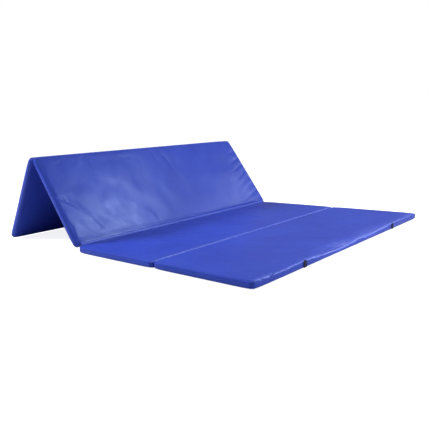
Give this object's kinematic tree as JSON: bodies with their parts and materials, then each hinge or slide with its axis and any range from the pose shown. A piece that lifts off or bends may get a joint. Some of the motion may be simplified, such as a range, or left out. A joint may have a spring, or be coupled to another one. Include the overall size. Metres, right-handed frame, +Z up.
{
  "type": "folding gym mat",
  "caption": "Folding gym mat of hinged foam panels in smooth vinyl covers, standing partly unfolded as a tent and a flat run, with webbing grab tabs.",
  "frame": {"origin": "middle of the bounding box at floor level, in the half unfolded rest pose", "axes": "+X across the hinge lines, from panel 1's foot to panel 4's free edge; +Y along the hinge lines; +Z up"},
  "size_m": [1.9768, 1.79, 0.5315],
  "materials": {
    "vinyl": "satin, lightly grained coated vinyl in strong blue",
    "foam": "matt closed-cell foam, white",
    "webbing": "matt woven webbing, dark navy"
  },
  "bodies": {
    "panel_1": {"core_1": "foam", "top_cover_1": "vinyl", "bottom_cover_1": "vinyl", "gusset_1": "vinyl", "hinge_strip_12": "vinyl"},
    "panel_2": {"core_2": "foam", "top_cover_2": "vinyl", "bottom_cover_2": "vinyl", "gusset_2": "vinyl", "hinge_strip_23": "vinyl"},
    "panel_3": {"core_3": "foam", "top_cover_3": "vinyl", "bottom_cover_3": "vinyl", "gusset_3": "vinyl"},
    "panel_4": {"core_4": "foam", "top_cover_4": "vinyl", "bottom_cover_4": "vinyl", "gusset_4": "vinyl", "hinge_strip_34": "vinyl", "tab_root_near": "webbing", "tab_root_far": "webbing"},
    "near_tab": {"grab_tab_near": "webbing"},
    "far_tab": {"grab_tab_far": "webbing"}
  },
  "joints": [
    {"name": "hinge_2_3", "type": "hinge", "parent": "panel_3", "child": "panel_2", "pos_m": [-0.23274, 0, 0.041], "axis": [0, 1, 0], "range_deg": [-54, 126], "deforming": ["hinge_strip_23"]},
    {"name": "hinge_1_2", "type": "hinge", "parent": "panel_2", "child": "panel_1", "pos_m": [-0.62527, 0, 0.50981], "axis": [0, -1, 0], "range_deg": [-111.22, 68.78], "deforming": ["hinge_strip_12"]},
    {"name": "hinge_3_4", "type": "hinge", "parent": "panel_3", "child": "panel_4", "pos_m": [0.37726, 0, -0.001], "axis": [0, 1, 0], "range_deg": [0, 180], "deforming": ["hinge_strip_34"]},
    {"name": "near_tab_swing", "type": "hinge", "parent": "panel_4", "child": "near_tab", "pos_m": [0.98686, -0.4975, 0.03], "axis": [0, -1, 0], "range_deg": [0, 120]},
    {"name": "far_tab_swing", "type": "hinge", "parent": "panel_4", "child": "far_tab", "pos_m": [0.98686, 0.4975, 0.03], "axis": [0, -1, 0], "range_deg": [0, 120]}
  ]
}
